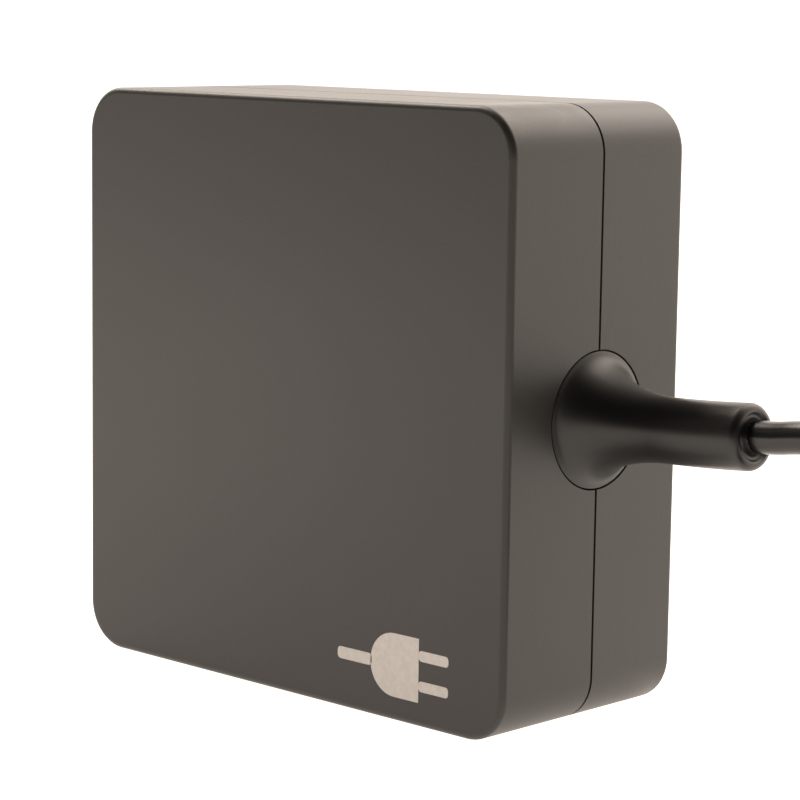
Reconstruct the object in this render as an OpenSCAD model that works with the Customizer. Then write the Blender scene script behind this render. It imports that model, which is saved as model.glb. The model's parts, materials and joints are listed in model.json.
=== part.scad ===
// Laptop power adapter: a square two-shell brick standing on its narrow edge.
// X points towards the low-voltage lead, -Y is the front face, +Z is up.
// The origin is the middle of the edge that the adapter stands on.

/* [Body] */
// Side of the square body, across and up
body_side = 74; // [70:1:80]
// Thickness of the body, front to rear
body_depth = 31; // [29:0.5:34]
// Radius of the four corners seen from the front
corner_r = 5.85; // [5:0.05:7]
// Small rounding round the front and rear faces
edge_r = 0.75; // [0.5:0.05:1]
// Wall thickness of both shells
wall = 2; // [1.8:0.1:2.4]

/* [Parting line] */
// How far the parting plane lies behind the middle of the body
seam_y = 0.4; // [-1:0.1:1]
// Width of the open groove between the shells
seam_gap = 0.36; // [0.2:0.02:0.6]
// Length of the tongue that locates the front shell
tongue_len = 1.6; // [1.2:0.1:2.5]
// Clearance round the tongue
tongue_clear = 0.05; // [0.03:0.01:0.1]

/* [Strain relief] */
// Radius of the rim that sits in the side of the body
rim_r = 8.18; // [7.5:0.02:9]
// Radius of the neck
neck_r = 3.88; // [3.6:0.02:4.2]
// Length of the strain relief outside the body
boot_len = 23; // [20:0.5:30]
// Upward tilt of the strain relief, in degrees
boot_tilt = 1.85; // [0:0.05:2]
// Length over which the bell narrows to the neck
bell_len = 10.75; // [9:0.25:14]
// Gap between the rim and its recess
rim_gap = 0.2; // [0.15:0.05:0.4]

/* [Low-voltage lead] */
// Diameter of the lead
cord_d = 3.8; // [3.6:0.1:4]
// Inner radius of the round ends of the tied-up lead
hank_in_r = 7.2; // [6.6:0.2:7.2]
// Length of the straight runs of the tied-up lead
hank_run = 36; // [30:1:40]
// Radius of the metal sleeve of the plug
barrel_r = 2.75; // [2.4:0.05:2.75]
// Bore of the plug's contact
contact_bore_r = 1.25; // [1:0.05:1.25]
// Length of the plug's metal sleeve
barrel_len = 9.5; // [9:0.5:12]

/* [Mains inlet] */
// Radius of the three inlet pins
pin_r = 1.18; // [1.15:0.01:1.2]
// Distance between the live and neutral pins
pin_pitch = 8.6; // [8:0.1:9]
// Distance from the line of those two pins to the earth pin
earth_offset = 5.2; // [5:0.1:6]
// Depth of the inlet's socket
socket_depth = 12; // [10:0.5:13]

/* [Hidden] */

$fn = 64;
half = body_side / 2;
mid_z = half;
front_y = -body_depth / 2;
rear_y = body_depth / 2;
eps = 0.01;
tongue_wall = 1;
// Exit of the lead: its bell, recess and the boss behind it
rim_depth = 1.2;
throat_r = 4.8;
boss_r = 10.4;
boss_depth = 5;
flange_r = 7;
flange_len = 1.6;
boot_bore_r = cord_d / 2;
boot_back = -boss_depth - flange_len - 0.35;
clamp_len = 4;
// Mains inlet: a block set into the left side
inlet_w = 22;
inlet_h = 15.6;
inlet_len = 14;
inlet_clear = 0.1;
lobe_r = 4.1;
socket_web = 2;
pin_len = 10;
pin_tail = 7;
// Circuit board, with its parts towards the front
board_y = 9;
board_t = 1.6;
board_h = 64;
board_left = -26;
board_w = 57;
// Label recess in the rear face
label_w = 54;
label_h = 46;
label_depth = 0.3;
label_t = 0.22;
// The tied-up lead lies on the strap, beside the body
tie_t = 0.6;
tie_w = 12;
hank_x = 113;
hank_out_r = hank_in_r + 2 * cord_d;
hank_low = tie_t;
hank_high = tie_t + 5 * cord_d;
// Plug, lying on the surface past the tied-up lead
plug_axis_z = 5;
plug_y = -10;
grip_back_x = 157;
grip_front_x = 181;
grip_r = 5;
barrel_root = 4;
barrel_flange_r = 3.1;
// Route of the lead from the strain relief to the top of its turns
lead_route = [
    [60.1, 0.4, 37.8], [63, 0.4, 38], [66, 0.4, 38.4], [70, 0.3, 38.7], [74, 0, 38.2],
    [78, -0.7, 36.7], [82, -1.8, 34.2], [86, -3.3, 31], [90, -5, 27.5], [94, -6.7, 24.2],
    [98, -8.1, 21.3], [102, -8.9, 19.2], [105, -9.1, 18.2]
];
// Route of the lead from the bottom of its turns to the plug
tail_route = [
    [137, -12.9, 2.5], [141, -12.6, 2.8], [146, -11.8, 3.6], [150, -10.9, 4.4],
    [154, -10.2, 4.9], [157, -10, 5]
];

// ---------- shared shapes ----------

// Rectangle with round corners, centred, in the XY plane
module round_rect(w, h, r) {
    square([w - 2 * r, h], center = true);
    square([w, h - 2 * r], center = true);
    for (sx = [-1, 1], sy = [-1, 1])
        translate([sx * (w / 2 - r), sy * (h / 2 - r)]) circle(r);
}

// Section through one edge of a shell: out to x = run, up to y = depth, outer corner rounded
module edge_section(run, depth) {
    square([run - edge_r, depth]);
    square([run, depth - edge_r]);
    translate([run - edge_r, depth - edge_r]) circle(edge_r);
}

// Solid block with round corners and a rounded far edge, standing on z = 0
module rounded_block(side, depth) {
    reach = side / 2 - corner_r;
    translate([-reach, -reach, 0]) cube([2 * reach, 2 * reach, depth]);
    for (k = [0 : 3]) rotate([0, 0, 90 * k]) {
        translate([reach, reach, 0])
            rotate_extrude(angle = 90) edge_section(corner_r, depth);
        translate([reach, reach, 0]) rotate([90, 0, 0])
            linear_extrude(2 * reach) edge_section(corner_r, depth);
    }
}

// Places a shape drawn on the parting plane; towards = -1 faces the front, 1 the rear
module on_seam(towards) {
    translate([0, seam_y, mid_z]) rotate([towards < 0 ? 90 : -90, 0, 0]) children();
}

// Round bar along +X from x = x0
module x_bar(x0, len, r) {
    translate([x0, 0, 0]) rotate([0, 90, 0]) cylinder(h = len, r = r);
}

// Lead exit, cut out of both shells
module lead_exit_cut() {
    translate([0, seam_y, mid_z]) {
        x_bar(half - rim_depth, rim_depth + 1, rim_r + rim_gap);
        x_bar(half - boss_depth - 1, boss_depth + 1, throat_r);
    }
}

// Opening for the inlet block, cut out of both shells
module inlet_cut() {
    translate([-half - 1, seam_y, mid_z])
        cube([2 * (wall + 2), inlet_h + 2 * inlet_clear, inlet_w + 2 * inlet_clear], center = true);
}

// Shell from the parting plane to one face, drawn with that face up
module shell_form(depth) {
    difference() {
        translate([0, 0, seam_gap / 2]) rounded_block(body_side, depth - seam_gap / 2);
        translate([0, 0, -eps]) linear_extrude(depth - wall + eps)
            round_rect(body_side - 2 * wall, body_side - 2 * wall, corner_r - wall);
    }
}

// Half of the boss that holds the strain relief, drawn like the shells
module exit_boss(depth) {
    intersection() {
        x_bar(half - boss_depth, boss_depth - wall + 0.5, boss_r);
        translate([0, -boss_r, seam_gap / 2]) cube([half, 2 * boss_r, depth]);
    }
}

// ---------- casing ----------

module front_shell() {
    depth = body_depth / 2 + seam_y;
    color([0.33, 0.31, 0.29]) difference() {
        on_seam(-1) {
            difference() {
                shell_form(depth);
                translate([0, 0, -eps]) linear_extrude(tongue_len + 0.2)
                    round_rect(body_side - 2 * (wall - tongue_wall),
                               body_side - 2 * (wall - tongue_wall), corner_r - wall + tongue_wall);
            }
            exit_boss(depth - wall);
        }
        lead_exit_cut();
        inlet_cut();
    }
}

module rear_shell() {
    depth = body_depth / 2 - seam_y;
    tongue_side = body_side - 2 * (wall - tongue_wall) - 2 * tongue_clear;
    color([0.35, 0.33, 0.31]) difference() {
        on_seam(1) {
            difference() {
                union() {
                    shell_form(depth);
                    translate([0, 0, -tongue_len]) linear_extrude(tongue_len + 1)
                        difference() {
                            round_rect(tongue_side, tongue_side, corner_r - wall + tongue_wall);
                            round_rect(body_side - 2 * wall, body_side - 2 * wall, corner_r - wall);
                        }
                }
                translate([-label_w / 2, -label_h / 2, depth - label_depth])
                    cube([label_w, label_h, 1]);
            }
            exit_boss(depth - wall);
        }
        lead_exit_cut();
        inlet_cut();
        // Way for the front half of the boss past the tongue
        translate([half - boss_depth, seam_y - tongue_len - 1, mid_z - boss_r - 0.3])
            cube([boss_depth + 1, tongue_len + 1 - seam_gap / 2, 2 * boss_r + 0.6]);
    }
}

// Blank film set into the rear face
module rating_label() {
    color([0.75, 0.75, 0.74]) translate([0, rear_y - label_depth, mid_z]) rotate([-90, 0, 0])
        linear_extrude(label_t) round_rect(label_w - 0.6, label_h - 0.6, 1.5);
}

// ---------- strain relief and lead ----------

// Radius of the bell at a distance from the side of the body
function bell_r(x) =
    let (t = max(0, 1 - x / bell_len), n = 1.8)
    rim_r - (rim_r - neck_r) * pow(1 - pow(t, n), 1 / n);

// Places a shape drawn along +Z on the tilted axis of the strain relief, z = 0 at the body's side
module on_boot() { translate([half, seam_y, mid_z]) rotate([0, 90 - boot_tilt, 0]) children(); }

module strain_relief() {
    bell_steps = [0, 0.2, 0.5, 1, 1.6, 2.4, 3.4, 4.6, 6, 8, bell_len];
    tip_round = 0.9;
    waist_r = throat_r - 0.3;
    profile = concat(
        [[boot_bore_r, boot_back], [flange_r, boot_back], [flange_r, boot_back + flange_len],
         [waist_r, boot_back + flange_len], [waist_r, 0.35 - rim_depth], [rim_r, 0.35 - rim_depth]],
        [for (x = bell_steps) [bell_r(x), x]],
        [for (a = [0 : 15 : 90])
            [neck_r - tip_round * (1 - cos(a)), boot_len - tip_round * (1 - sin(a))]],
        [[boot_bore_r, boot_len]]
    );
    color([0.2, 0.19, 0.18]) on_boot() rotate_extrude() polygon(profile);
}

// The end of the lead inside the strain relief
module inner_cable() {
    from = boot_back - clamp_len - 0.2;
    color([0.22, 0.2, 0.19]) on_boot() translate([0, 0, from])
        cylinder(h = boot_len - from, r = boot_bore_r);
}

// Crimped ring that stops the lead from being pulled out
module cable_clamp() {
    color([0.7, 0.7, 0.72]) on_boot() translate([0, 0, boot_back - clamp_len - 0.1])
        difference() {
            cylinder(h = clamp_len, r = cord_d / 2 + 0.8);
            translate([0, 0, -1]) cylinder(h = clamp_len + 2, r = boot_bore_r);
        }
}

// Direction of a route at one of its points
function heading(route, i) =
    let (d = route[min(i + 1, len(route) - 1)] - route[max(i - 1, 0)]) d / norm(d);

// One ring of points round a route's point
function ring(route, i, r, sides) =
    let (d = heading(route, i), side = cross([0, 0, 1], d) / norm(cross([0, 0, 1], d)),
         up = cross(d, side))
    [for (k = [0 : sides - 1]) route[i] + r * (cos(360 * k / sides) * side + sin(360 * k / sides) * up)];

// Round tube along a route
module tube(route, d, sides = 8) {
    n = len(route);
    points = [for (i = [0 : n - 1]) each ring(route, i, d / 2, sides)];
    walls = [for (i = [0 : n - 2], k = [0 : sides - 1])
        [i * sides + k, i * sides + (k + 1) % sides,
         (i + 1) * sides + (k + 1) % sides, (i + 1) * sides + k]];
    near_end = [[for (k = [sides - 1 : -1 : 0]) k]];
    far_end = [[for (k = [0 : sides - 1]) (n - 1) * sides + k]];
    polyhedron(points = points, faces = concat(walls, near_end, far_end));
}

module dc_cable() { color([0.22, 0.2, 0.19]) tube(lead_route, cord_d); }

module plug_cable() { color([0.22, 0.2, 0.19]) tube(tail_route, cord_d); }

// Outline of the tied-up lead seen from above
module hank_outline(r) {
    square([hank_run, 2 * r], center = true);
    for (s = [-1, 1]) translate([s * hank_run / 2, 0]) circle(r);
}

// Ten turns: five layers of two
module cable_coil() {
    color([0.22, 0.2, 0.19]) translate([hank_x, 0, hank_low]) linear_extrude(hank_high - hank_low)
        difference() { hank_outline(hank_out_r); hank_outline(hank_in_r); }
}

// Strap wrapped round the middle of the tied-up lead
module cable_tie() {
    color([0.12, 0.12, 0.12]) translate([hank_x, 0, 0]) difference() {
        translate([-tie_w / 2, -hank_out_r - tie_t, 0])
            cube([tie_w, 2 * (hank_out_r + tie_t), hank_high + tie_t]);
        translate([-tie_w, -hank_out_r, hank_low])
            cube([2 * tie_w, 2 * hank_out_r, hank_high - hank_low]);
    }
}

// ---------- plug ----------

// Places a shape drawn along +Z on the plug's axis, pointing towards the plug's tip
module on_plug(x) { translate([x, plug_y, plug_axis_z]) rotate([0, 90, 0]) children(); }

module plug_grip() {
    grip_len = grip_front_x - grip_back_x;
    color([0.16, 0.15, 0.15]) on_plug(grip_back_x) difference() {
        rotate_extrude() polygon([[0, 0], [2.9, 0], [3.3, 8], [4.3, 11], [grip_r, 13],
                                  [grip_r, grip_len - 0.6], [grip_r - 0.6, grip_len], [0, grip_len]]);
        translate([0, 0, grip_len - barrel_root]) cylinder(h = barrel_root + 1, r = barrel_flange_r);
    }
}

// Sleeve with a flange inside the grip
module plug_barrel() {
    color([0.75, 0.76, 0.78]) on_plug(grip_front_x - barrel_root) difference() {
        union() {
            cylinder(h = barrel_root, r = barrel_flange_r);
            translate([0, 0, barrel_root]) cylinder(h = barrel_len, r = barrel_r);
        }
        translate([0, 0, -1]) cylinder(h = barrel_root + barrel_len + 2, r = barrel_r - 0.35);
    }
}

module plug_insulator() {
    color([0.1, 0.1, 0.1]) on_plug(grip_front_x - barrel_root) difference() {
        cylinder(h = barrel_root + barrel_len - 0.4, r = barrel_r - 0.35);
        translate([0, 0, -1]) cylinder(h = barrel_root + barrel_len + 2, r = contact_bore_r + 0.3);
    }
}

module plug_contact() {
    color([0.8, 0.68, 0.35]) on_plug(grip_front_x - barrel_root) difference() {
        cylinder(h = barrel_root + barrel_len - 0.8, r = contact_bore_r + 0.3);
        translate([0, 0, 1]) cylinder(h = barrel_root + barrel_len, r = contact_bore_r);
    }
}

// ---------- mains inlet ----------

// Places a shape drawn along +Z on the inlet's axis, pointing into the body;
// its x runs down the body and its y runs towards the rear
module on_inlet(inset) { translate([inset - half, seam_y, mid_z]) rotate([0, 90, 0]) children(); }

// How far the live and neutral pins lie behind the middle of the inlet
pin_row_y = earth_offset / 2;

module socket_outline() {
    for (s = [-1, 1]) translate([s * pin_pitch / 2, pin_row_y]) circle(lobe_r);
    translate([0, pin_row_y - earth_offset]) circle(lobe_r);
    translate([-pin_pitch / 2, -pin_row_y]) square([pin_pitch, earth_offset + socket_web]);
}

module inlet_housing() {
    color([0.1, 0.1, 0.1]) on_inlet(0) difference() {
        union() {
            translate([-inlet_w / 2, -inlet_h / 2, 0]) cube([inlet_w, inlet_h, inlet_len]);
            // Flange behind the wall that keeps the block from pulling out
            translate([-inlet_w / 2 - 1.5, -inlet_h / 2 - 1.5, wall + 0.1])
                cube([inlet_w + 3, inlet_h + 3, 1.8]);
        }
        translate([0, 0, -1]) linear_extrude(socket_depth + 1) socket_outline();
        for (s = [-1, 1]) translate([s * pin_pitch / 2, pin_row_y, 0]) cylinder(h = 30, r = pin_r);
        translate([0, pin_row_y - earth_offset, 0]) cylinder(h = 30, r = pin_r);
    }
}

module inlet_pin(x, y) {
    color([0.78, 0.78, 0.8]) on_inlet(socket_depth - pin_len) translate([x, y, 0]) {
        nose = 0.3;
        rotate_extrude() polygon([[0, 0], [pin_r - nose, 0], [pin_r, nose],
                                  [pin_r, pin_len + pin_tail - 2], [0, pin_len + pin_tail - 2]]);
    }
}

module live_pin() { inlet_pin(-pin_pitch / 2, pin_row_y); }

module neutral_pin() { inlet_pin(pin_pitch / 2, pin_row_y); }

module earth_pin() { inlet_pin(0, pin_row_y - earth_offset); }

// Three insulated wires from the pins to the board
module inlet_leads() {
    wire_x = socket_depth + pin_tail - 2;
    drop = board_y - seam_y;
    color([0.45, 0.25, 0.15]) on_inlet(wire_x) {
        for (s = [-1, 1]) translate([s * pin_pitch / 2, 0, 0])
            translate([-0.8, pin_row_y - 0.8, 0]) cube([1.6, drop - pin_row_y + 0.8, 1.6]);
        translate([-0.8, pin_row_y - earth_offset - 0.8, 0])
            cube([1.6, drop - pin_row_y + earth_offset + 0.8, 1.6]);
    }
}

// ---------- electronics ----------
// Parts stand on the front side of the board. Places are across and up from the board's middle,
// and heights run forwards from the board.

module on_board(x, z) { translate([x, board_y, mid_z + z]) rotate([90, 0, 0]) children(); }

module board_box(x, z, w, h, tall) {
    on_board(x, z) translate([-w / 2, -h / 2, 0]) cube([w, h, tall]);
}

module board_can(x, z, r, tall) { on_board(x, z) cylinder(h = tall, r = r); }

module circuit_board() {
    color([0.16, 0.36, 0.2]) translate([0, board_y, mid_z]) rotate([-90, 0, 0])
        difference() {
            translate([board_left, -board_h / 2, 0]) cube([board_w, board_h, board_t]);
            for (s = [-1, 1]) translate([24, s * 28, -1]) cylinder(h = 4, r = 1.6);
        }
}

module fuse() { color([0.75, 0.72, 0.62]) board_can(-20, 26, 4, 8); }

module varistor() { color([0.15, 0.3, 0.55]) board_box(-20, 17.5, 10, 3.6, 12); }

module inrush_thermistor() { color([0.2, 0.3, 0.22]) board_box(-9, 27, 9, 4, 11); }

module x_capacitor() { color([0.8, 0.7, 0.25]) board_box(-17, -25, 15, 8, 14); }

// Wound ring, open in the middle
module line_choke() {
    color([0.55, 0.32, 0.15]) on_board(-5, -10) difference() {
        cylinder(h = 9, r = 7.5);
        translate([0, 0, -1]) cylinder(h = 11, r = 3);
    }
}

module bridge_rectifier() { color([0.12, 0.12, 0.13]) board_box(-7, 17, 15, 3.6, 14); }

module bulk_capacitor() {
    color([0.16, 0.18, 0.22]) translate([0, board_y - 9.5, mid_z + 24]) x_bar(1, 26, 8.5);
}

module switching_transistor() { color([0.12, 0.12, 0.13]) board_box(5, 9.2, 10, 4, 16); }

module primary_heatsink() { color([0.72, 0.73, 0.75]) board_box(6, 12.2, 22, 1.6, 19); }

module transformer_core() {
    color([0.22, 0.22, 0.23]) {
        board_box(14, 5, 20, 4, 18);
        board_box(14, -15, 20, 4, 18);
        board_box(14, -5, 7, 16, 18);
    }
}

module transformer_winding() {
    color([0.85, 0.72, 0.2]) difference() {
        board_box(14, -5, 20, 15.6, 16);
        on_board(14, -5) translate([-3.6, -10, -1]) cube([7.2, 20, 30]);
    }
}

module y_capacitor() { color([0.2, 0.4, 0.65]) board_box(27.5, -11, 5, 7, 8); }

module optocoupler() { color([0.9, 0.9, 0.88]) board_box(27.4, 7, 5, 7, 3.6); }

module controller_chip() {
    color([0.1, 0.1, 0.11]) translate([8, board_y + board_t, mid_z - 2]) cube([6, 1.6, 5]);
}

module output_rectifier() { color([0.12, 0.12, 0.13]) board_box(3, -22.6, 10, 4, 15); }

module secondary_heatsink() { color([0.72, 0.73, 0.75]) board_box(3, -19.7, 20, 1.6, 18); }

module output_capacitors() {
    color([0.12, 0.22, 0.3]) {
        board_can(18.5, -24, 4.6, 17);
        board_can(28.2, -24, 4.6, 17);
    }
}

module output_choke() {
    color([0.6, 0.35, 0.15]) on_board(3, -29.2) translate([-6, -2.2, 0]) cube([12, 4.4, 9]);
}

// Two wires from the board to the clamp on the lead
module output_leads() {
    lead_x = half + boot_back - clamp_len - 1.9;
    color([0.55, 0.12, 0.1]) for (s = [-1, 1])
        translate([lead_x, seam_y - 1, mid_z + s * 1.2 - 0.8]) cube([1.5, board_y - seam_y + 1, 1.6]);
}

// Stiff film between the board and the rear shell
module insulating_sheet() {
    color([0.92, 0.9, 0.8]) translate([-29, board_y + board_t + 2, mid_z - 33]) cube([62, 0.4, 66]);
}

// Thin shield in front of the parts
module shield_plate() {
    color([0.78, 0.75, 0.6]) translate([-13, front_y + wall + 0.4, mid_z - 33]) cube([44, 0.4, 66]);
}

front_shell();
rear_shell();
rating_label();
strain_relief();
cable_clamp();
inner_cable();
dc_cable();
cable_coil();
plug_cable();
cable_tie();
plug_grip();
plug_barrel();
plug_insulator();
plug_contact();
inlet_housing();
live_pin();
neutral_pin();
earth_pin();
inlet_leads();
circuit_board();
fuse();
varistor();
inrush_thermistor();
x_capacitor();
line_choke();
bridge_rectifier();
bulk_capacitor();
switching_transistor();
primary_heatsink();
transformer_core();
transformer_winding();
y_capacitor();
optocoupler();
controller_chip();
output_rectifier();
secondary_heatsink();
output_capacitors();
output_choke();
output_leads();
insulating_sheet();
shield_plate();
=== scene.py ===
import json
import math

import bmesh
import bpy
from mathutils import Matrix, Vector


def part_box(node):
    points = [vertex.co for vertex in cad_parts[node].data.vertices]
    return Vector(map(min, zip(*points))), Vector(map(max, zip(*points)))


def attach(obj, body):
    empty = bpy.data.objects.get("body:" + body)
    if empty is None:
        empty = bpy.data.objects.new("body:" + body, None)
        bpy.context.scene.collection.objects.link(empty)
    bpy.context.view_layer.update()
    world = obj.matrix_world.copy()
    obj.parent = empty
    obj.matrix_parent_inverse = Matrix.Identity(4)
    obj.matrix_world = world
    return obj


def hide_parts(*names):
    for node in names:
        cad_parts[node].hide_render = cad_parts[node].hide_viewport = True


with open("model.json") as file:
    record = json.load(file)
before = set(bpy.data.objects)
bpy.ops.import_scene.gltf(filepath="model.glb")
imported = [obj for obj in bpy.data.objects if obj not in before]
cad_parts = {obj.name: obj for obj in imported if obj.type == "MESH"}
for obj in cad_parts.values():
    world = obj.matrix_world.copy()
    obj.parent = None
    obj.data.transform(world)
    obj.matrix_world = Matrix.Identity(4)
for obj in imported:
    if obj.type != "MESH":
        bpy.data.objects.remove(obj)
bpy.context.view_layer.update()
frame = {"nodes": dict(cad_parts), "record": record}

MM = 0.001


# ---------------------------------------------------------------- sizes from the frame

body_low, body_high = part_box("front_shell")
coil_low, coil_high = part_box("cable_coil")
tie_low, tie_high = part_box("cable_tie")
grip_low, grip_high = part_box("plug_grip")

side_x = body_high.x
front_y = body_low.y
mid_z = (body_low.z + body_high.z) / 2
seam_y = 0.4 * MM

coil_x = (coil_low.x + coil_high.x) / 2

cord_r = 1.9 * MM
cord_d = 2 * cord_r


# ---------------------------------------------------------------- small tools

def new_object(name, mesh):
    obj = bpy.data.objects.new(name, mesh)
    bpy.context.scene.collection.objects.link(obj)
    return obj


def mesh_object(name, verts, faces, sharp_deg=35):
    """A smooth-shaded mesh object with its normals facing out."""
    mesh = bpy.data.meshes.new(name)
    mesh.from_pydata([tuple(v) for v in verts], [], faces)
    bm = bmesh.new()
    bm.from_mesh(mesh)
    bmesh.ops.remove_doubles(bm, verts=bm.verts, dist=1e-7)
    bmesh.ops.recalc_face_normals(bm, faces=bm.faces)
    bm.to_mesh(mesh)
    bm.free()
    obj = new_object(name, mesh)
    smooth(obj, sharp_deg)
    return obj


def smooth(obj, sharp_deg):
    """Smooth shading, with the edges that turn more than sharp_deg kept crisp."""
    mesh = obj.data
    mesh.polygons.foreach_set("use_smooth", [True] * len(mesh.polygons))
    mesh.set_sharp_from_angle(angle=math.radians(sharp_deg))


def lathe(name, profile, place, sides):
    """Turns (distance, radius) points round an axis. place(distance) gives that point's
    centre on the axis and the two directions across it. Both ends are closed."""
    verts, faces = [], []
    for dist, radius in profile:
        centre, across, up = place(dist)
        for k in range(sides):
            a = 2 * math.pi * k / sides
            verts.append(centre + radius * (math.cos(a) * across + math.sin(a) * up))
    for i in range(len(profile) - 1):
        for k in range(sides):
            k2 = (k + 1) % sides
            faces.append((i * sides + k, i * sides + k2, (i + 1) * sides + k2, (i + 1) * sides + k))
    faces.append(tuple(range(sides - 1, -1, -1)))
    last = (len(profile) - 1) * sides
    faces.append(tuple(range(last, last + sides)))
    return mesh_object(name, verts, faces)


def arc(cx, cy, r, start, end, steps):
    """Points on an arc, angles in degrees."""
    angles = [math.radians(start + (end - start) * i / steps) for i in range(steps + 1)]
    return [(cx + r * math.cos(a), cy + r * math.sin(a)) for a in angles]


def eased(t):
    """Runs smoothly from 0 to 1 as t does, and stays level beyond both."""
    t = min(1.0, max(0.0, t))
    return t * t * (3 - 2 * t)


def spline_through(points, steps):
    """A smooth line through points (Catmull-Rom), with steps pieces between neighbours."""
    pts = [points[0] * 2 - points[1], *points, points[-1] * 2 - points[-2]]
    out = []
    for i in range(1, len(pts) - 2):
        p0, p1, p2, p3 = pts[i - 1:i + 3]
        for s in range(steps):
            t = s / steps
            out.append(0.5 * (2 * p1 + (p2 - p0) * t + (2 * p0 - 5 * p1 + 4 * p2 - p3) * t ** 2
                              + (3 * p1 - p0 - 3 * p2 + p3) * t ** 3))
    out.append(pts[-2].copy())
    return out


# ---------------------------------------------------------------- camera

# Angles in degrees, lens and sensor in millimetres, the rest in metres
CAMERA_AZIMUTH = 43.77
CAMERA_ELEVATION = 8.31
CAMERA_ROLL = 0.83
CAMERA_DISTANCE = 0.3446
CAMERA_LENS = 123.2
CAMERA_SENSOR = 36
CAMERA_TARGET = Vector((5.05 * MM, 0, mid_z - 1.13 * MM))


def view_back():
    """Unit vector from the object towards the camera."""
    a, e = math.radians(CAMERA_AZIMUTH), math.radians(CAMERA_ELEVATION)
    return Vector((math.sin(a) * math.cos(e), -math.cos(a) * math.cos(e), math.sin(e)))


def make_camera():
    data = bpy.data.cameras.new("camera")
    data.sensor_width = CAMERA_SENSOR
    data.lens = CAMERA_LENS
    data.clip_start, data.clip_end = 0.01, 20
    cam = new_object("camera", data)
    back = view_back()
    turn = (-back).to_track_quat("-Z", "Y").to_matrix()
    roll = Matrix.Rotation(math.radians(CAMERA_ROLL), 3, "Z")
    stand = Matrix.Translation(CAMERA_TARGET + back * CAMERA_DISTANCE)
    cam.matrix_world = stand @ (turn @ roll).to_4x4()
    bpy.context.scene.camera = cam


# ---------------------------------------------------------------- the lead

# Route from inside the strain relief to the tied turns, and from those to the plug, in metres
LEAD_ROUTE = [
    (0.0340, 0.0004, 0.0370), (0.0440, 0.0004, 0.0371), (0.0520, 0.0004, 0.0373),
    (0.0601, 0.0004, 0.0378), (0.063, 0.0004, 0.0380), (0.066, 0.0004, 0.0384),
    (0.070, 0.0003, 0.0387), (0.074, 0.0, 0.0382), (0.078, -0.0007, 0.0367),
    (0.082, -0.0018, 0.0342), (0.086, -0.0033, 0.0310), (0.090, -0.0050, 0.0275),
    (0.094, -0.0067, 0.0242), (0.098, -0.0081, 0.0213), (0.102, -0.0089, 0.0192),
    (0.105, -0.0091, 0.0182),
]
TAIL_ROUTE = [
    (0.137, -0.0129, 0.0025), (0.141, -0.0126, 0.0028), (0.146, -0.0118, 0.0036),
    (0.150, -0.0109, 0.0044), (0.154, -0.0102, 0.0049), (0.157, -0.0100, 0.0050),
    (0.160, -0.0100, 0.0050),
]
# Column (0 is the inner one) and layer of each turn, from the lead-in to the plug
TURNS = [(0, 4), (1, 4), (1, 3), (0, 3), (0, 2), (1, 2), (1, 1), (0, 1), (0, 0), (1, 0)]
# Length of the oval's straight runs, and radius of the inner column's round ends
RUN = 36 * MM
INNER_R = 9.1 * MM
# Way round the oval, halfway between the two columns
AROUND = 2 * RUN + 2 * math.pi * (INNER_R + cord_r)
# Where the lead-in joins the top turn
START_X = 109 * MM
# Share of a turn over which it eases into the next one's place
CROSSING = 0.12
# Points on each turn, and pieces between neighbouring points of a route
TURN_STEPS = 72
ROUTE_STEPS = 4


def turn_place(turn):
    """Radius of one turn's round ends, and its height."""
    column, layer = TURNS[min(turn, len(TURNS) - 1)]
    return INNER_R + column * cord_d, coil_low.z + (layer + 0.5) * cord_d


def track_point(share, r):
    """Point on an oval of two straight runs and two round ends, at a share of the way round
    it. It starts along the front run, towards +X."""
    middle = Vector((coil_x, 0, 0))
    straight = RUN / AROUND
    share %= 1
    side = 1
    if share >= 0.5:
        share, side = share - 0.5, -1
    if share < straight:
        p = Vector((-RUN / 2 + RUN * share / straight, -r, 0))
    else:
        a = math.pi * ((share - straight) / (0.5 - straight) - 0.5)
        p = Vector((RUN / 2 + r * math.cos(a), r * math.sin(a), 0))
    return middle + side * p


def hank_points():
    """The turns of the oval, each easing into the next one's place over its last stretch. They
    start at START_X and leave at the far end of the front run."""
    start = (START_X - coil_x + RUN / 2) / AROUND
    turn_share = (len(TURNS) - 1 + RUN / AROUND - start) / len(TURNS)
    points = []
    for i in range(TURN_STEPS * len(TURNS) + 1):
        turn, within = divmod(i / TURN_STEPS, 1)
        r, z = turn_place(int(turn))
        r2, z2 = turn_place(int(turn) + 1)
        t = eased((within - 1 + CROSSING) / CROSSING)
        share = start + i / TURN_STEPS * turn_share
        points.append(track_point(share, r + (r2 - r) * t) + Vector((0, 0, z + (z2 - z) * t)))
    return points


def path_length(points):
    return sum((b - a).length for a, b in zip(points, points[1:]))


def make_lead():
    """The whole lead as one tube, and its length."""
    turns = hank_points()
    lead_in = spline_through([*[Vector(p) for p in LEAD_ROUTE], turns[0]], ROUTE_STEPS)
    tail = spline_through([turns[-1], *[Vector(p) for p in TAIL_ROUTE]], ROUTE_STEPS)
    points = lead_in + turns[1:] + tail[1:]
    data = bpy.data.curves.new("lead", "CURVE")
    data.dimensions = "3D"
    data.bevel_depth = cord_r
    data.bevel_resolution = 7
    data.use_fill_caps = True
    spline = data.splines.new("POLY")
    spline.points.add(len(points) - 1)
    for place, p in zip(spline.points, points):
        place.co = (*p, 1)
    lead = new_object("lead", data)
    return lead, path_length(points)


# ---------------------------------------------------------------- strain relief

# The bell is a superellipse quarter from the rim down to the neck, and the neck bends upwards
RIM_R = 8.18 * MM
NECK_R = 3.88 * MM
BOOT_LEN = 23 * MM
BELL_LEN = 10.75 * MM
BELL_POWER = 1.8
BEND_START = 6.4 * MM
BEND_RADIUS = 185 * MM


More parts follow.
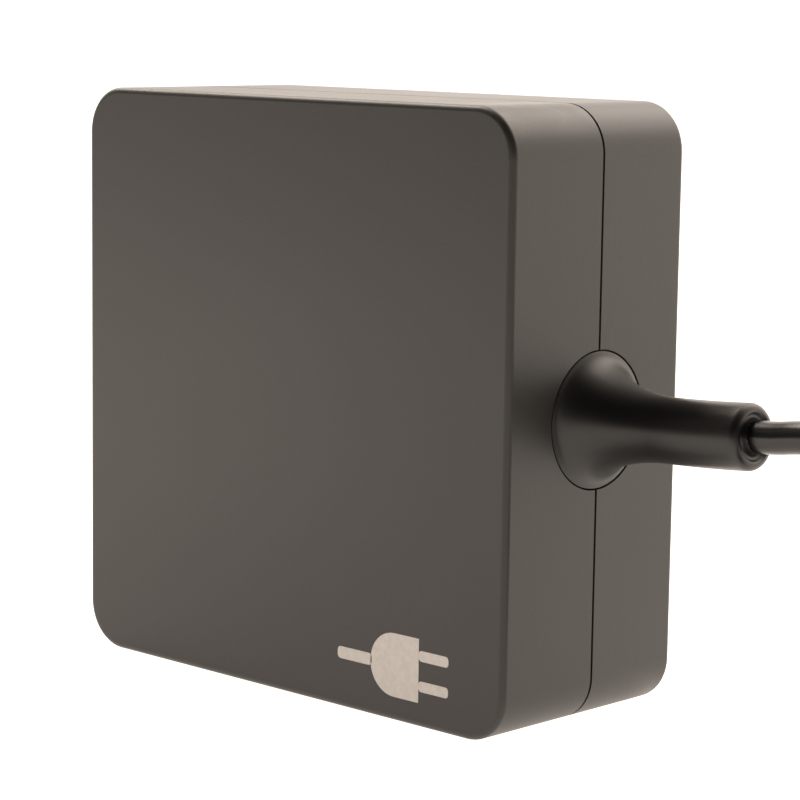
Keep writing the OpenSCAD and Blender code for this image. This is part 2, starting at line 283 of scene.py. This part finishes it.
def bell_radius(dist):
    """Radius at a distance from the casing's side."""
    t = max(0.0, 1 - dist / BELL_LEN)
    return RIM_R - (RIM_R - NECK_R) * (1 - t ** BELL_POWER) ** (1 / BELL_POWER)


def boot_place(dist):
    """The boot's axis: straight through the bell, then bending slightly upwards."""
    run = max(0.0, dist - BEND_START)
    angle = run / BEND_RADIUS
    x = side_x + min(dist, BEND_START) + BEND_RADIUS * math.sin(angle)
    z = mid_z + BEND_RADIUS * (1 - math.cos(angle))
    up = Vector((-math.sin(angle), 0, math.cos(angle)))
    return Vector((x, seam_y, z)), Vector((0, 1, 0)), up


def make_boot():
    """Strain relief: rim, bell and neck, with a shallow dish round the lead in its rounded end."""
    back = -0.85 * MM
    core_r = 0.5 * MM
    lip = 0.12 * MM
    tip_round = 0.9 * MM
    dish_depth = 0.55 * MM
    profile = [(back, core_r), (back, RIM_R)]
    profile += [(d - lip, r) for d, r in arc(0, RIM_R - lip, lip, 90, 60, 3)]
    bell_steps = 40
    crowding = 1.7
    for i in range(1, bell_steps + 1):
        d = BELL_LEN * (i / bell_steps) ** crowding
        profile.append((d, bell_radius(d)))
    neck_steps = 12
    neck_end = BOOT_LEN - tip_round
    profile += [(BELL_LEN + (neck_end - BELL_LEN) * i / neck_steps, NECK_R)
                for i in range(1, neck_steps + 1)]
    profile += [(neck_end + r, NECK_R - tip_round + d)
                for d, r in arc(0, 0, tip_round, 0, 90, 8)][1:]
    dish_steps = 20
    dish_rise = 1.5
    lip_r, root_r = NECK_R - tip_round, cord_r * 0.98
    for i in range(1, dish_steps + 1):
        t = i / dish_steps
        dip = math.sin(math.pi * t) ** 2 if t < 0.5 else 1 - dish_rise * (2 * t - 1) ** 3
        profile.append((BOOT_LEN - dish_depth * dip, lip_r + (root_r - lip_r) * t))
    profile.append((BOOT_LEN - dish_depth, core_r))
    return lathe("boot", profile, boot_place, sides=128)


# ---------------------------------------------------------------- tie

def make_tie():
    """A strap wrapped round the tied turns, with its free end lying over its own top."""
    thick = 0.55 * MM
    slack = 0.02 * MM
    corner_r = 1.6 * MM
    lap_lift, lap_bulge = 0.5 * MM, 0.12 * MM
    lap_share = 0.86
    lap_steps = 24
    columns = 21
    edge_thinning, edge_power = 0.3, 8
    middle = (tie_low.x + tie_high.x) / 2
    strap_width = tie_high.x - tie_low.x
    near, far = tie_low.y + slack, tie_high.y - slack
    wrap = rounded_outline([(near, 0), (far, 0), (far, tie_high.z), (near, tie_high.z)], corner_r, 6)
    lap_from, lap_to = tie_high.y - 4 * MM, tie_low.y + 3 * MM
    lap = [(lap_from + (lap_to - lap_from) * i / lap_steps,
            tie_high.z + lap_lift + lap_bulge * math.sin(math.pi * i / lap_steps))
           for i in range(lap_steps + 1)]
    verts, faces = [], []
    for line, width in ((wrap + [wrap[0]], strap_width), (lap, lap_share * strap_width)):
        start = len(verts)
        for (y, z), (ny, nz) in zip(line, line_normals(line)):
            for j in range(columns):
                u = 2 * j / (columns - 1) - 1
                inset = thick * edge_thinning * abs(u) ** edge_power
                for depth in (thick, inset):
                    height = max(0, z - nz * depth)
                    verts.append(Vector((middle + u * width / 2, y - ny * depth, height)))
        faces += strip_faces(start, len(line), columns)
    return mesh_object("tie", verts, faces, 50)


def rounded_outline(corners, radius, steps):
    """Closed outline with its corners rounded by short curves."""
    out = []
    n = len(corners)
    for i in range(n):
        p = Vector(corners[i])
        before = (Vector(corners[i - 1]) - p).normalized() * radius
        after = (Vector(corners[(i + 1) % n]) - p).normalized() * radius
        a, b = p + before, p + after
        for s in range(steps + 1):
            t = s / steps
            out.append(tuple((1 - t) ** 2 * a + 2 * t * (1 - t) * p + t ** 2 * b))
    return out


def line_normals(line):
    """Outward normals of an outline that runs anticlockwise."""
    normals = []
    closed = (Vector(line[0]) - Vector(line[-1])).length < 1e-9
    n = len(line)
    for i in range(n):
        before = Vector(line[i - 1] if i > 0 else (line[-2] if closed else line[0]))
        after = Vector(line[i + 1] if i < n - 1 else (line[1] if closed else line[-1]))
        d = (after - before).normalized()
        normals.append((d.y, -d.x))
    return normals


def strip_faces(start, rows, columns):
    """Faces of a closed thin slab: each grid place holds a lower and an upper point."""
    def at(i, j, side):
        return start + (i * columns + j) * 2 + side
    faces = []
    for i in range(rows - 1):
        for j in range(columns - 1):
            for side in (0, 1):
                faces.append((at(i, j, side), at(i + 1, j, side),
                              at(i + 1, j + 1, side), at(i, j + 1, side)))
        for j in (0, columns - 1):
            faces.append((at(i, j, 0), at(i + 1, j, 0), at(i + 1, j, 1), at(i, j, 1)))
    for i in (0, rows - 1):
        for j in range(columns - 1):
            faces.append((at(i, j, 0), at(i, j + 1, 0), at(i, j + 1, 1), at(i, j, 1)))
    return faces


# ---------------------------------------------------------------- plug

def plug_place(x_tail, axis_y, axis_z):
    """Axis of the plug, running from its tail towards its tip along +X."""
    def place(dist):
        return Vector((x_tail + dist, axis_y, axis_z)), Vector((0, 1, 0)), Vector((0, 0, 1))
    return place


def make_grip():
    """Moulded grip: a ringed tail that eases into a waisted body with a rounded nose."""
    length = grip_high.x - grip_low.x
    axis_y = (grip_low.y + grip_high.y) / 2
    axis_z = (grip_low.z + grip_high.z) / 2
    full = grip_high.y - axis_y
    mouth_r = 2.8 * MM
    rings = 4
    pitch = 2 * MM
    first_ring = 0.6 * MM
    ring_r, ring_growth = 2.95 * MM, 0.12 * MM
    groove = 0.42 * MM
    profile = [(0.2 * MM, cord_r * 0.97), (0, cord_r + 0.1 * MM), (0, 2.6 * MM),
               (0.25 * MM, 2.85 * MM)]
    for k in range(rings):
        base = first_ring + k * pitch
        r = ring_r + ring_growth * k
        profile += [(base, r), (base + 0.95 * MM, r + 0.05 * MM), (base + 1.1 * MM, r - 0.05 * MM),
                    (base + 1.25 * MM, r - groove), (base + 1.7 * MM, r - groove + 0.03 * MM),
                    (base + 1.85 * MM, r + 0.02 * MM)]
    shoulder = first_ring + rings * pitch
    start_r = ring_r + ring_growth * rings
    steps = 14
    run = 5 * MM
    for i in range(steps + 1):
        t = i / steps
        profile.append((shoulder + run * t, start_r + (full - start_r) * eased(t)))
    nose = 0.6 * MM
    waist_from, waist_to = shoulder + run + 0.8 * MM, length - nose - 1 * MM
    waist_depth = 0.28 * MM
    waist_steps = 20
    for i in range(1, waist_steps):
        t = i / waist_steps
        dip = waist_depth * math.sin(math.pi * t) ** 2
        profile.append((waist_from + (waist_to - waist_from) * t, full - dip))
    profile += [(length - nose + r, full - nose + d) for d, r in arc(0, 0, nose, 0, 90, 6)]
    profile += [(length, mouth_r), (length - 0.3 * MM, mouth_r - 0.06 * MM),
                (length - 0.3 * MM, 0.4 * MM)]
    return lathe("grip", profile, plug_place(grip_low.x, axis_y, axis_z), sides=72)


# ---------------------------------------------------------------- printed mark

def flat_plate(name, outlines, y_back, thick, place):
    """Thin plates with the given outlines in the front face's plane."""
    verts, faces = [], []
    for outline in outlines:
        start = len(verts)
        n = len(outline)
        for y in (y_back, y_back - thick):
            verts += [Vector((place.x + u, y, place.z + v)) for u, v in outline]
        faces.append(tuple(start + i for i in range(n)))
        faces.append(tuple(start + n + i for i in reversed(range(n))))
        faces += [(start + i, start + (i + 1) % n, start + n + (i + 1) % n, start + n + i)
                  for i in range(n)]
    return mesh_object(name, verts, faces, 30)


def rounded_bar(u0, v0, u1, v1, radius):
    """Rectangle with rounded corners as an outline."""
    corners = [(u0, v0), (u1, v0), (u1, v1), (u0, v1)]
    return rounded_outline(corners, radius, 4)


def make_mark():
    """A plain pictogram of a two-pin plug on its lead: head, two pins and the lead."""
    place = Vector((21 * MM, 0, 6.9 * MM))
    head = arc(-1.5, 0, 3.9, 90, 270, 20) + [(2.6, -3.9), (2.6, 3.9)]
    shapes = [
        [(u * MM, v * MM) for u, v in head],
        rounded_bar(2.6 * MM, 1.2 * MM, 7.4 * MM, 2.5 * MM, 0.5 * MM),
        rounded_bar(2.6 * MM, -2.5 * MM, 7.4 * MM, -1.2 * MM, 0.5 * MM),
        rounded_bar(-11 * MM, -0.75 * MM, -5.2 * MM, 0.75 * MM, 0.6 * MM),
    ]
    return flat_plate("plug_mark", shapes, front_y, 0.02 * MM, place)


# ---------------------------------------------------------------- materials

def new_material(name):
    """A material with its node tree and its shader node."""
    material = bpy.data.materials.new(name)
    material.use_nodes = True
    tree = material.node_tree
    shader = next(n for n in tree.nodes if n.type == "BSDF_PRINCIPLED")
    return material, tree, shader


def tinted(colour, factor):
    return tuple(c * factor for c in colour)


class Nodes:
    """Short calls for the nodes that the materials and the studio share."""

    def __init__(self, tree, place="Object"):
        self.tree = tree
        self.place = tree.nodes.new("ShaderNodeTexCoord").outputs[place]

    def link(self, a, b):
        self.tree.links.new(a, b)

    def noise(self, scale, detail, rough, distortion=0.0):
        n = self.tree.nodes.new("ShaderNodeTexNoise")
        n.inputs["Scale"].default_value = scale
        n.inputs["Detail"].default_value = detail
        n.inputs["Roughness"].default_value = rough
        n.inputs["Distortion"].default_value = distortion
        self.link(self.place, n.inputs["Vector"])
        return n.outputs["Fac"]

    def map_range(self, value, a, b, c, d, smooth=False):
        n = self.tree.nodes.new("ShaderNodeMapRange")
        n.interpolation_type = "SMOOTHSTEP" if smooth else "LINEAR"
        for name, number in (("From Min", a), ("From Max", b), ("To Min", c), ("To Max", d)):
            n.inputs[name].default_value = number
        self.link(value, n.inputs["Value"])
        return n.outputs["Result"]

    def math(self, operation, a, b):
        n = self.tree.nodes.new("ShaderNodeMath")
        n.operation = operation
        for socket, value in zip(n.inputs, (a, b)):
            if isinstance(value, (int, float)):
                socket.default_value = value
            else:
                self.link(value, socket)
        return n.outputs[0]

    def mix(self, factor, a, b):
        n = self.tree.nodes.new("ShaderNodeMix")
        n.data_type = "RGBA"
        for socket, value in ((n.inputs[0], factor), (n.inputs[6], a), (n.inputs[7], b)):
            if isinstance(value, (int, float)):
                socket.default_value = value
            elif isinstance(value, tuple):
                socket.default_value = (*value, 1)
            else:
                self.link(value, socket)
        return n.outputs[2]

    def place_with(self, operation, vector):
        """The dot product or the distance of each point and a vector."""
        n = self.tree.nodes.new("ShaderNodeVectorMath")
        n.operation = operation
        n.inputs[1].default_value = vector
        self.link(self.place, n.inputs[0])
        return n.outputs["Value"]

    def specks(self, scale, radius, share):
        """Small round dots, at most one in each cell, in that share of the cells."""
        n = self.tree.nodes.new("ShaderNodeTexVoronoi")
        n.inputs["Scale"].default_value = scale
        self.link(self.place, n.inputs["Vector"])
        dot = self.map_range(n.outputs["Distance"], radius * scale * 0.6, radius * scale, 1, 0, True)
        pick = self.tree.nodes.new("ShaderNodeSeparateColor")
        self.link(n.outputs["Color"], pick.inputs[0])
        chosen = self.math("LESS_THAN", pick.outputs[0], share)
        return self.math("MULTIPLY", dot, chosen)

    def bump(self, shader, height, distance):
        n = self.tree.nodes.new("ShaderNodeBump")
        n.inputs["Distance"].default_value = distance
        self.link(height, n.inputs["Height"])
        self.link(n.outputs["Normal"], shader.inputs["Normal"])


SHELL_DUST = (0.42, 0.38, 0.34)
SOFT_DUST = (0.35, 0.32, 0.29)
PLASTIC_IOR = 1.5


def shell_plastic(name, base, grain, smears):
    """Moulded matte plastic: fine grain, faint colour drift, smears from handling and dust."""
    material, tree, shader = new_material(name)
    nodes = Nodes(tree)
    shader.inputs["IOR"].default_value = PLASTIC_IOR
    drift = nodes.noise(28, 3, 0.55)
    grain_noise = nodes.noise(grain, 3, 0.6)
    colour = nodes.mix(nodes.map_range(drift, 0.3, 0.7, 0, 1), tinted(base, 0.9), tinted(base, 1.12))
    fleck = nodes.map_range(grain_noise, 0.35, 0.7, 0, 0.35)
    colour = nodes.mix(fleck, colour, tinted(base, 1.35))
    rough = nodes.map_range(drift, 0.3, 0.7, 0.38, 0.43)
    if smears:
        swirl = nodes.noise(34, 4, 0.62, 2.4)
        rising = nodes.map_range(swirl, 0.5, 0.56, 0, 1, True)
        falling = nodes.map_range(swirl, 0.56, 0.66, 1, 0, True)
        streak = nodes.math("MULTIPLY", rising, falling)
        patch = nodes.map_range(nodes.noise(14, 2, 0.5), 0.42, 0.62, 0, 1, True)
        streak = nodes.math("MULTIPLY", streak, patch)
        colour = nodes.mix(nodes.math("MULTIPLY", streak, 0.35), colour, tinted(base, 0.6))
        rough = nodes.math("SUBTRACT", rough, nodes.math("MULTIPLY", streak, 0.04))
    large, small = nodes.specks(110, 0.11 * MM, 0.1), nodes.specks(310, 0.045 * MM, 0.12)
    dust = nodes.math("MAXIMUM", large, small)
    colour = nodes.mix(nodes.math("MULTIPLY", dust, 0.6), colour, SHELL_DUST)
    nodes.link(colour, shader.inputs["Base Color"])
    nodes.link(rough, shader.inputs["Roughness"])
    height = nodes.math("ADD", grain_noise, nodes.math("MULTIPLY", dust, 1.5))
    nodes.bump(shader, height, 0.012 * MM)
    return material


def soft_plastic(name, base, rough, grain=2600, bump=0.008 * MM):
    """Overmoulded elastomer or cable jacket: satin, with a very fine grain."""
    material, tree, shader = new_material(name)
    nodes = Nodes(tree)
    shader.inputs["IOR"].default_value = PLASTIC_IOR
    drift = nodes.noise(60, 3, 0.55)
    fine = nodes.noise(grain, 2, 0.6)
    colour = nodes.mix(nodes.map_range(drift, 0.3, 0.7, 0, 1), tinted(base, 0.88), tinted(base, 1.14))
    dust = nodes.specks(420, 0.04 * MM, 0.06)
    colour = nodes.mix(nodes.math("MULTIPLY", dust, 0.4), colour, SOFT_DUST)
    nodes.link(colour, shader.inputs["Base Color"])
    nodes.link(nodes.map_range(drift, 0.3, 0.7, rough - 0.03, rough + 0.03), shader.inputs["Roughness"])
    nodes.bump(shader, fine, bump)
    return material


def metal(name, base, rough):
    """Plated or rolled metal with fine drawn marks."""
    material, tree, shader = new_material(name)
    nodes = Nodes(tree)
    shader.inputs["Metallic"].default_value = 1
    marks = nodes.noise(900, 4, 0.65, 0.4)
    colour = nodes.mix(nodes.map_range(marks, 0.3, 0.7, 0, 1), tinted(base, 0.9), base)
    nodes.link(colour, shader.inputs["Base Color"])
    nodes.link(nodes.map_range(marks, 0.3, 0.7, rough * 0.8, rough * 1.25), shader.inputs["Roughness"])
    nodes.bump(shader, marks, 0.004 * MM)
    return material


def woven(name, base):
    """Hook-and-loop strap: a fuzzy pile in small tufts."""
    material, tree, shader = new_material(name)
    nodes = Nodes(tree)
    shader.inputs["Sheen Weight"].default_value = 0.35
    shader.inputs["Sheen Roughness"].default_value = 0.5
    pile = nodes.noise(2400, 4, 0.7, 0.6)
    tuft = nodes.noise(700, 3, 0.6)
    colour = nodes.mix(nodes.map_range(pile, 0.35, 0.65, 0, 1), tinted(base, 0.5), tinted(base, 1.8))
    nodes.link(colour, shader.inputs["Base Color"])
    nodes.link(nodes.map_range(tuft, 0.3, 0.7, 0.8, 0.95), shader.inputs["Roughness"])
    nodes.bump(shader, nodes.math("ADD", pile, tuft), 0.12 * MM)
    return material


def paint(name, base):
    """Screen-printed ink, slightly uneven."""
    material, tree, shader = new_material(name)
    nodes = Nodes(tree)
    cover = nodes.noise(1500, 3, 0.6)
    colour = nodes.mix(nodes.map_range(cover, 0.3, 0.75, 0, 1), tinted(base, 0.86), base)
    nodes.link(colour, shader.inputs["Base Color"])
    nodes.link(nodes.map_range(cover, 0.3, 0.7, 0.42, 0.55), shader.inputs["Roughness"])
    nodes.bump(shader, cover, 0.006 * MM)
    return material


def dress(obj, material):
    """Gives a piece one material, in place of what it has."""
    obj.data.materials.clear()
    obj.data.materials.append(material)


# ---------------------------------------------------------------- stage and light

WARM_LIGHT = (1, 0.885, 0.785, 1)
FLOOR_LIGHT = (1, 0.89, 0.8, 1)


def make_floor():
    """A pale floor that glows like a lit sweep, brightest in a patch beyond the inlet side."""
    half = 1.5
    corners = ((-half, -half), (half, -half), (half, half), (-half, half))
    floor = mesh_object("floor", [Vector((x, y, 0)) for x, y in corners], [(0, 1, 2, 3)])
    # The glow is painted light that lights the object from below; the brighter patch is a painted pool
    # of light.
    material, tree, shader = new_material("glowing_floor")
    shader.inputs["Base Color"].default_value = (0.4, 0.4, 0.4, 1)
    shader.inputs["Roughness"].default_value = 0.8
    shader.inputs["Emission Color"].default_value = FLOOR_LIGHT
    nodes = Nodes(tree)
    away = nodes.place_with("DISTANCE", (-0.3, -0.18, 0))
    patch_r, fade_r = 0.06, 0.28
    patch_glow, floor_glow = 2.4, 1.26
    glow = nodes.map_range(away, patch_r, fade_r, patch_glow, floor_glow, True)
    nodes.link(glow, shader.inputs["Emission Strength"])
    floor.data.materials.append(material)


def make_world():
    """A pale studio all round, darker on the photographer's side and brighter behind the
    object. The camera itself sees it as plain white."""
    world = bpy.data.worlds.new("studio")
    bpy.context.scene.world = world
    world.use_nodes = True
    tree = world.node_tree
    background = next(n for n in tree.nodes if n.type == "BACKGROUND")
    output = next(n for n in tree.nodes if n.type == "OUTPUT_WORLD")
    nodes = Nodes(tree, "Generated")
    front = nodes.map_range(nodes.place_with("DOT_PRODUCT", view_back()), -0.4, 0.5, 1.75, 0.03, True)
    behind = (0.36, 0.91, 0.2)
    rear = nodes.map_range(nodes.place_with("DOT_PRODUCT", behind), -0.9, 0.9, 0.18, 1.56)
    nodes.link(nodes.math("MULTIPLY", front, rear), background.inputs["Strength"])
    background.inputs["Color"].default_value = WARM_LIGHT
    backdrop = tree.nodes.new("ShaderNodeBackground")
    backdrop.inputs["Color"].default_value = (1, 1, 1, 1)
    backdrop.inputs["Strength"].default_value = 1.2
    rays = tree.nodes.new("ShaderNodeLightPath")
    choose = tree.nodes.new("ShaderNodeMixShader")
    nodes.link(rays.outputs["Is Camera Ray"], choose.inputs[0])
    nodes.link(background.outputs[0], choose.inputs[1])
    nodes.link(backdrop.outputs[0], choose.inputs[2])
    nodes.link(choose.outputs[0], output.inputs["Surface"])


def softbox(name, place, aim, size, power):
    """A square light that faces aim."""
    data = bpy.data.lights.new(name, "AREA")
    data.shape = "SQUARE"
    data.size = size
    data.energy = power
    data.color = WARM_LIGHT[:3]
    light = new_object(name, data)
    light.location = place
    light.rotation_euler = (aim - place).to_track_quat("-Z", "Y").to_euler()


def make_lights():
    aim = Vector((0, 0, mid_z))
    softbox("back_box", Vector((0.1, 0.75, 0.85)), aim, size=0.9, power=5)
    softbox("roof_box", Vector((-0.62, 0.05, 0.75)), aim, size=0.5, power=5.5)


# ---------------------------------------------------------------- build

bpy.context.scene.view_settings.view_transform = "Standard"
make_camera()
lead, lead_length = make_lead()
boot = make_boot()
tie = make_tie()
grip = make_grip()
mark = make_mark()

front_plastic = shell_plastic("front_plastic", (0.018, 0.0173, 0.0160), grain=2600, smears=True)
rear_plastic = shell_plastic("rear_plastic", (0.023, 0.0219, 0.0203), grain=1900, smears=False)
boot_rubber = soft_plastic("boot_rubber", (0.005, 0.0048, 0.0043), 0.36)
jacket = soft_plastic("jacket", (0.003, 0.0029, 0.0026), 0.25)
grip_plastic = soft_plastic("grip_plastic", (0.018, 0.0165, 0.015), 0.45)
inlet_plastic = soft_plastic("inlet_plastic", (0.014, 0.0135, 0.013), 0.5)
black_plastic = soft_plastic("black_plastic", (0.01, 0.01, 0.01), 0.35)
nickel = metal("nickel", (0.72, 0.70, 0.67), 0.22)
brass = metal("contact_brass", (0.80, 0.60, 0.30), 0.28)
strap = woven("strap", (0.018, 0.018, 0.019))
ink = paint("ink", (0.66, 0.63, 0.59))
film = soft_plastic("label_film", (0.05, 0.046, 0.042), 0.38, grain=1500, bump=0.003 * MM)

dress(mark, ink)
for piece, material, slot_name, stood_for in (
        (lead, jacket, "cord_jacket", ("dc_cable", "cable_coil", "plug_cable", "inner_cable")),
        (boot, boot_rubber, "cord_rubber", ("strain_relief",)),
        (tie, strap, "tie_strap", ("cable_tie",)),
        (grip, grip_plastic, "plug_overmould", ("plug_grip",))):
    dress(piece, material)
    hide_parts(*stood_for)
    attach(piece, "root")
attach(mark, "root")

VISIBLE_NODES = {
    "front_shell": front_plastic,
    "rear_shell": rear_plastic,
    "rating_label": film,
    "inlet_housing": inlet_plastic,
    "live_pin": nickel,
    "neutral_pin": nickel,
    "earth_pin": nickel,
    "plug_barrel": nickel,
    "plug_insulator": black_plastic,
    "plug_contact": brass,
}

METAL_CLASSES = ("brushed_steel", "chrome", "aluminium", "cast_iron", "brass")
INNER_ROUGHNESS = 0.4
NODE_SHARP_DEG = 28


def dress_nodes():
    """Gives each CAD node its material above, or else a procedural one of its record's class
    and colour."""
    entries = {entry["slot"]: entry for entry in frame["record"]["materials"]}
    made = {}
    for row in frame["record"]["subparts"]:
        node, slot_name = row["node"], row["material_slot"]
        material = VISIBLE_NODES.get(node) or made.get(slot_name)
        if not material:
            entry = entries[slot_name]
            maker = metal if entry["class"] in METAL_CLASSES else soft_plastic
            material = maker("inner_" + slot_name, tuple(entry["base_color"][:3]), INNER_ROUGHNESS)
            made[slot_name] = material
        dress(frame["nodes"][node], material)
        smooth(frame["nodes"][node], NODE_SHARP_DEG)


dress_nodes()

make_floor()
make_world()
make_lights()
